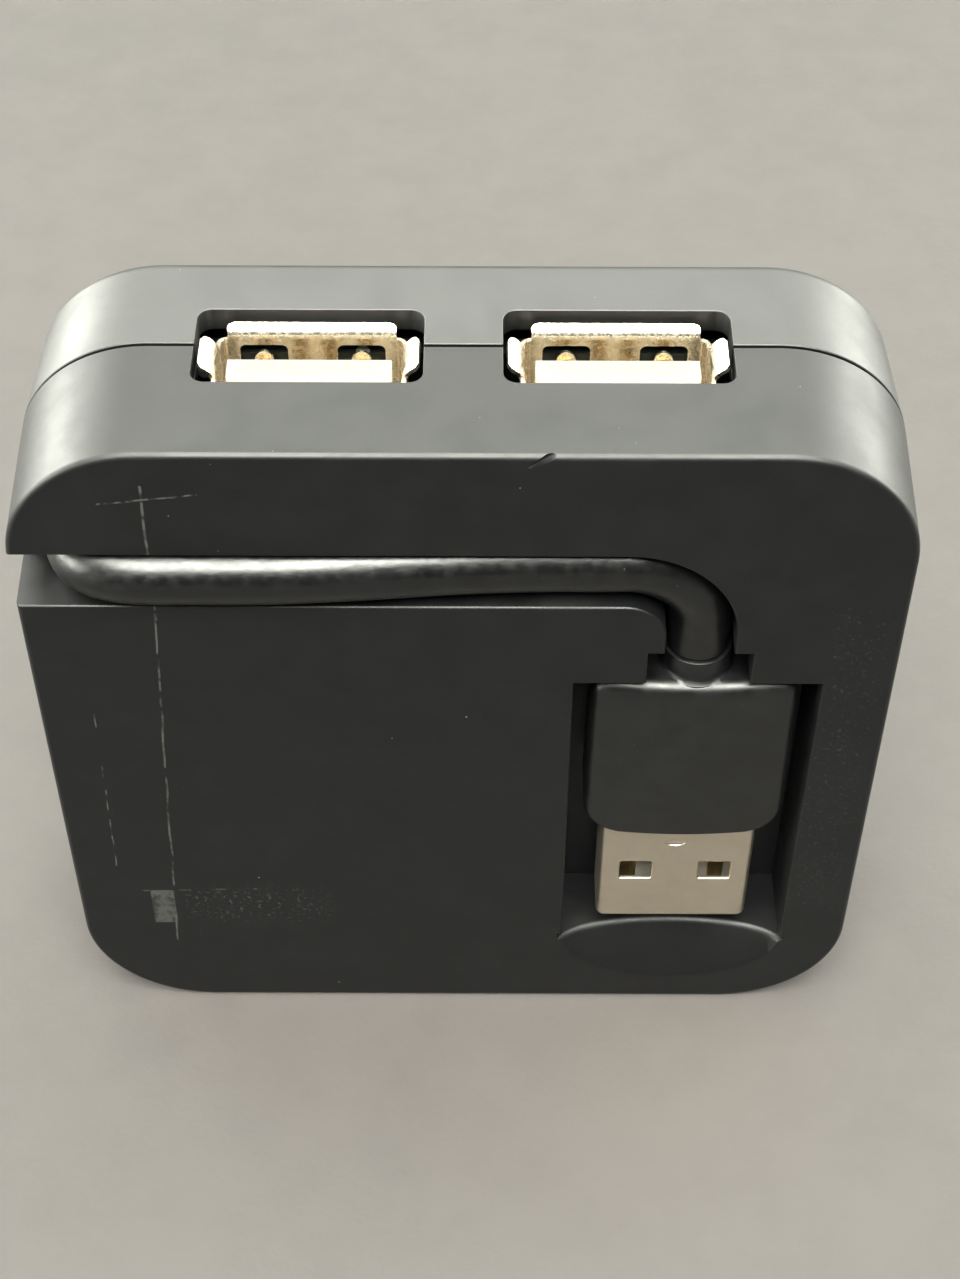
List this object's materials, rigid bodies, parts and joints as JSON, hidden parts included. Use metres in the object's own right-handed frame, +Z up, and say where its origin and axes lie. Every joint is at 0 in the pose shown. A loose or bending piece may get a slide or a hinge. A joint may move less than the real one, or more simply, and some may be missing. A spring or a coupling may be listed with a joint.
{
  "type": "usb hub",
  "caption": "Square pocket USB hub standing on edge, with type-A ports on two opposite edges and a captive lead whose plug docks in a recess of the underside.",
  "frame": {"origin": "centre of the bounding box at its lowest level, where the hub stands on one edge", "axes": "+Z up towards the edge with ports 1 and 2, -Y out of the underside that holds the lead and plug, +X across the underside from the cord's end of the slot to the plug"},
  "size_m": [0.0622, 0.0218, 0.0613],
  "materials": {
    "housing": "fine-textured black moulded plastic, scuffed and dusty",
    "overmould": "soft black moulded PVC",
    "cord": "satin black PVC jacket",
    "port_steel": "formed nickel-plated steel sheet",
    "plug_steel": "satin nickel-plated steel sheet",
    "white_plastic": "off-white insulator",
    "contact": "gold-plated spring contacts",
    "board": "dark green, almost black solder mask",
    "chip": "black moulded package",
    "crystal": "drawn metal can",
    "capacitor": "dark sleeve",
    "wire_red": "red insulation",
    "wire_white": "white insulation",
    "wire_green": "green insulation",
    "wire_black": "black insulation"
  },
  "bodies": {
    "housing": {"bottom_cover": "housing", "capacitor_1": "capacitor", "capacitor_2": "capacitor", "capacitor_3": "capacitor", "circuit_board": "board", "crystal": "crystal", "hub_controller": "chip", "port_1_contact_1": "contact", "port_1_contact_2": "contact", "port_1_contact_3": "contact", "port_1_contact_4": "contact", "port_1_shell": "port_steel", "port_1_tongue": "white_plastic", "port_2_contact_1": "contact", "port_2_contact_2": "contact", "port_2_contact_3": "contact", "port_2_contact_4": "contact", "port_2_shell": "port_steel", "port_2_tongue": "white_plastic", "port_3_contact_1": "contact", "port_3_contact_2": "contact", "port_3_contact_3": "contact", "port_3_contact_4": "contact", "port_3_shell": "port_steel", "port_3_tongue": "white_plastic", "port_4_contact_1": "contact", "port_4_contact_2": "contact", "port_4_contact_3": "contact", "port_4_contact_4": "contact", "port_4_shell": "port_steel", "port_4_tongue": "white_plastic", "strain_relief": "overmould", "top_cover": "housing", "wire_1": "wire_red", "wire_2": "wire_white", "wire_3": "wire_green", "wire_4": "wire_black"},
    "lead": {"cord": "cord", "plug_overmould": "overmould", "plug_shell": "plug_steel", "plug_tongue": "white_plastic", "plug_contact_1": "contact", "plug_contact_2": "contact", "plug_contact_3": "contact", "plug_contact_4": "contact"}
  },
  "joints": [
    {"name": "lead_swing", "type": "hinge", "parent": "housing", "child": "lead", "pos_m": [-0.0261, -0.007, 0.04975], "axis": [0, 0, -1], "range_deg": [0, 170], "deforming": ["cord"]}
  ]
}
